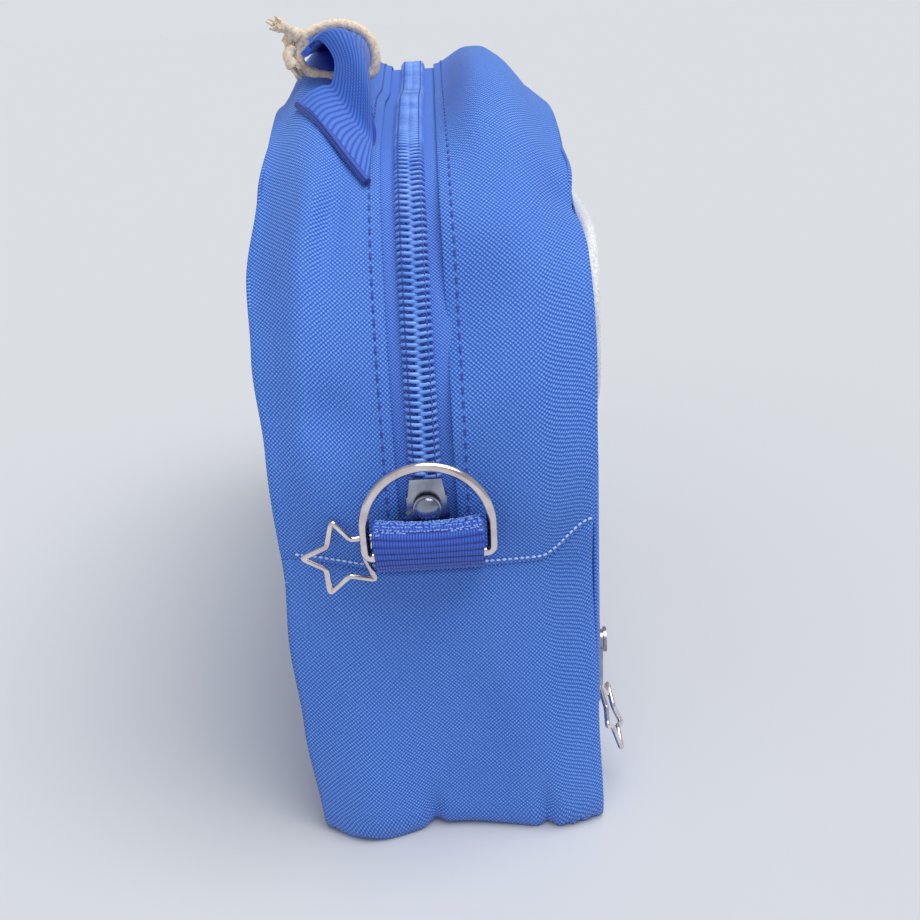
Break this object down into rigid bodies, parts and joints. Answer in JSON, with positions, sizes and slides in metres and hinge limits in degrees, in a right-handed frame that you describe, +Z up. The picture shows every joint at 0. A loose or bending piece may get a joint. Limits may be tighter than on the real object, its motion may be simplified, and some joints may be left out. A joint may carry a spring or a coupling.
{
  "type": "lunch bag",
  "caption": "Soft insulated lunch bag with a rounded top, a zip round it, a webbing handle, end rings on tabs, star zip pulls and a padded front with a zip pocket.",
  "frame": {"origin": "centre of the base on the ground", "axes": "+Z up, X along the bag with the slider's end at -X, -Y towards the decorated front"},
  "size_m": [0.2434, 0.0816, 0.1933],
  "materials": {
    "outer_fabric": "coarse woven polyester",
    "lining_foil": "foil-faced foam",
    "pouch_cloth": "thin plain weave",
    "zip_tape": "fine woven tape",
    "zip_coil": "nylon coil",
    "slider_metal": "dark plated casting",
    "pull_metal": "plated wire",
    "ring_metal": "plated wire",
    "webbing": "ribbed webbing",
    "cotton_cord": "twisted cotton",
    "pale_padding": "padded cloth",
    "glitter_cloth": "glitter cloth",
    "white_piping": "corded piping"
  },
  "bodies": {
    "bag": {"back_panel": "outer_fabric", "front_lower_panel": "outer_fabric", "back_zip_strip": "outer_fabric", "front_strip_ends": "outer_fabric", "base_gusset": "outer_fabric", "back_lining": "lining_foil", "front_lower_lining": "lining_foil", "back_strip_lining": "lining_foil", "front_strip_end_linings": "lining_foil", "base_lining": "lining_foil", "pocket_pouch": "pouch_cloth", "zip_tape_back": "zip_tape", "zip_tape_front_ends": "zip_tape", "pocket_zip_tapes": "zip_tape", "zip_coil_back": "zip_coil", "zip_coil_front_ends": "zip_coil", "pocket_zip_coils": "zip_coil", "near_zip_stop": "slider_metal", "far_zip_stop": "slider_metal", "near_ring_tab": "webbing", "far_ring_tab": "webbing", "handle_end_near": "webbing", "handle_end_far": "webbing", "lower_patch": "glitter_cloth", "lower_piping": "white_piping"},
    "front_flap": {"front_upper_panel": "outer_fabric", "front_upper_lining": "lining_foil", "front_zip_strip": "outer_fabric", "front_strip_lining": "lining_foil", "zip_tape_front": "zip_tape", "zip_coil_front": "zip_coil", "upper_patch": "pale_padding", "upper_piping": "white_piping"},
    "main_slider": {"zip_slider": "slider_metal"},
    "star_pull": {"zip_link": "slider_metal", "zip_star": "pull_metal"},
    "near_d_ring": {"near_ring": "ring_metal"},
    "far_d_ring": {"far_ring": "ring_metal"},
    "handle": {"handle_grip": "webbing", "handle_tie": "cotton_cord"},
    "pocket_runner": {"pocket_slider": "slider_metal"},
    "pocket_pull": {"pocket_link": "slider_metal", "pocket_star": "pull_metal"}
  },
  "joints": [
    {"name": "front_fold", "type": "hinge", "parent": "bag", "child": "front_flap", "pos_m": [0, -0.0375, 0.095], "axis": [1, 0, 0], "range_deg": [0, 75]},
    {"name": "slider_run", "type": "hinge", "parent": "bag", "child": "main_slider", "pos_m": [-0.0265, 0.0025, 0.087], "axis": [0, 1, 0], "range_deg": [0, 45]},
    {"name": "star_swing", "type": "hinge", "parent": "main_slider", "child": "star_pull", "pos_m": [-0.1125, 0.0025, 0.0865], "axis": [1, 0, 0.0058], "range_deg": [0, 70]},
    {"name": "near_ring_swing", "type": "hinge", "parent": "bag", "child": "near_d_ring", "pos_m": [-0.11905, 0.0025, 0.07746], "axis": [0, -1, 0], "range_deg": [0, 150]},
    {"name": "far_ring_swing", "type": "hinge", "parent": "bag", "child": "far_d_ring", "pos_m": [0.11905, 0.0025, 0.07746], "axis": [0, 1, 0], "range_deg": [0, 150]},
    {"name": "handle_flop", "type": "hinge", "parent": "bag", "child": "handle", "pos_m": [0, 0.0215, 0.16842], "axis": [1, 0, 0], "range_deg": [-55, 35]},
    {"name": "pocket_slide", "type": "slide", "parent": "bag", "child": "pocket_runner", "axis": [0, 0, 1], "range_m": [0, 0.037]},
    {"name": "pocket_star_swing", "type": "hinge", "parent": "pocket_runner", "child": "pocket_pull", "pos_m": [-0.0986, -0.03381, 0.042], "axis": [0.0545, 0.9985, 0], "range_deg": [0, 100]}
  ]
}
